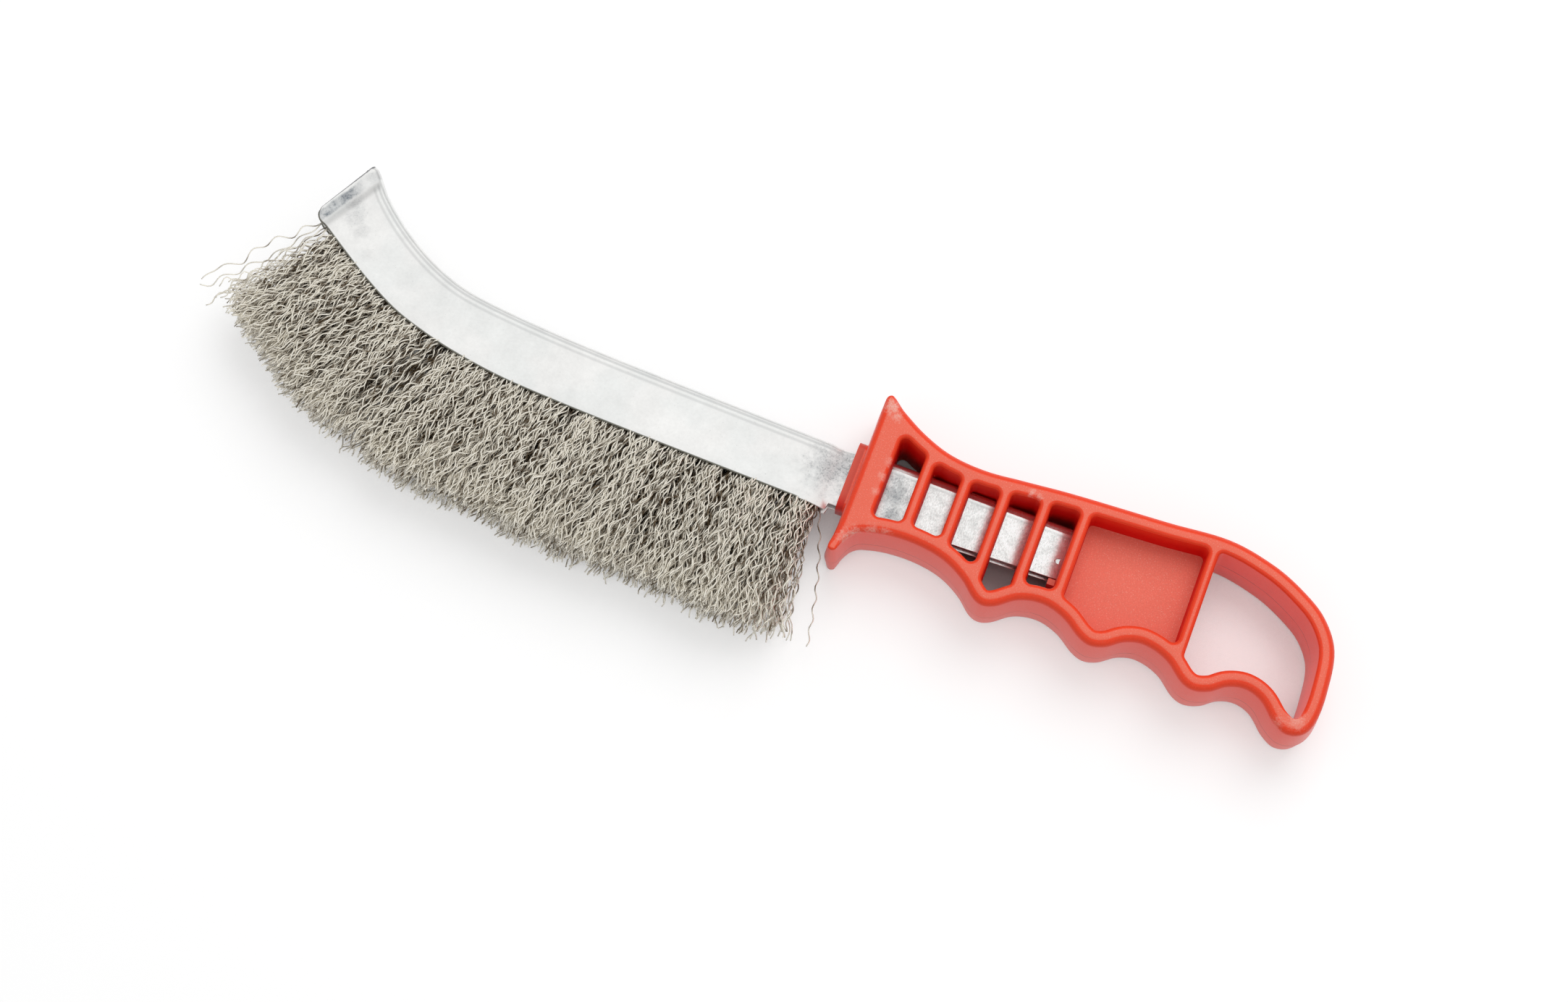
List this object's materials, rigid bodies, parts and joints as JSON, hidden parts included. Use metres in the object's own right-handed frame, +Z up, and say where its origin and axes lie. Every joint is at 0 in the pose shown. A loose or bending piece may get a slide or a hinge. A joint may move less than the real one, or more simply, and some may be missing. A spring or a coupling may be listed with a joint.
{
  "type": "wire hand brush",
  "caption": "Hand brush with crimped steel wire bristles gripped in a folded steel channel with an upturned tip, its tang pushed into a red open-lattice plastic handle with a hanging loop.",
  "frame": {"origin": "middle of the flat underside of the handle's guard, on the surface that the brush lies on", "axes": "+X along the handle towards its end, with the channel and its tip towards -X; +Y towards the back of the handle and the channel's closed spine, with the bristles towards -Y; +Z up, across the handle's thickness"},
  "size_m": [0.2922, 0.0813, 0.02],
  "materials": {
    "red_plastic": "moulded red plastic, satin with a slight sheen, lightly scuffed at its edges",
    "zinc_steel": "bright zinc-plated sheet with a fine mottled grain",
    "steel_wire": "plain drawn wire",
    "bristle_steel": "bare crimped steel wire, warm grey, unpolished"
  },
  "bodies": {
    "root": {"handle": "red_plastic", "channel": "zinc_steel", "retaining_wire": "steel_wire", "bristle_tuft_01": "bristle_steel", "bristle_tuft_02": "bristle_steel", "bristle_tuft_03": "bristle_steel", "bristle_tuft_04": "bristle_steel", "bristle_tuft_05": "bristle_steel", "bristle_tuft_06": "bristle_steel", "bristle_tuft_07": "bristle_steel", "bristle_tuft_08": "bristle_steel", "bristle_tuft_09": "bristle_steel", "bristle_tuft_10": "bristle_steel"}
  },
  "joints": []
}
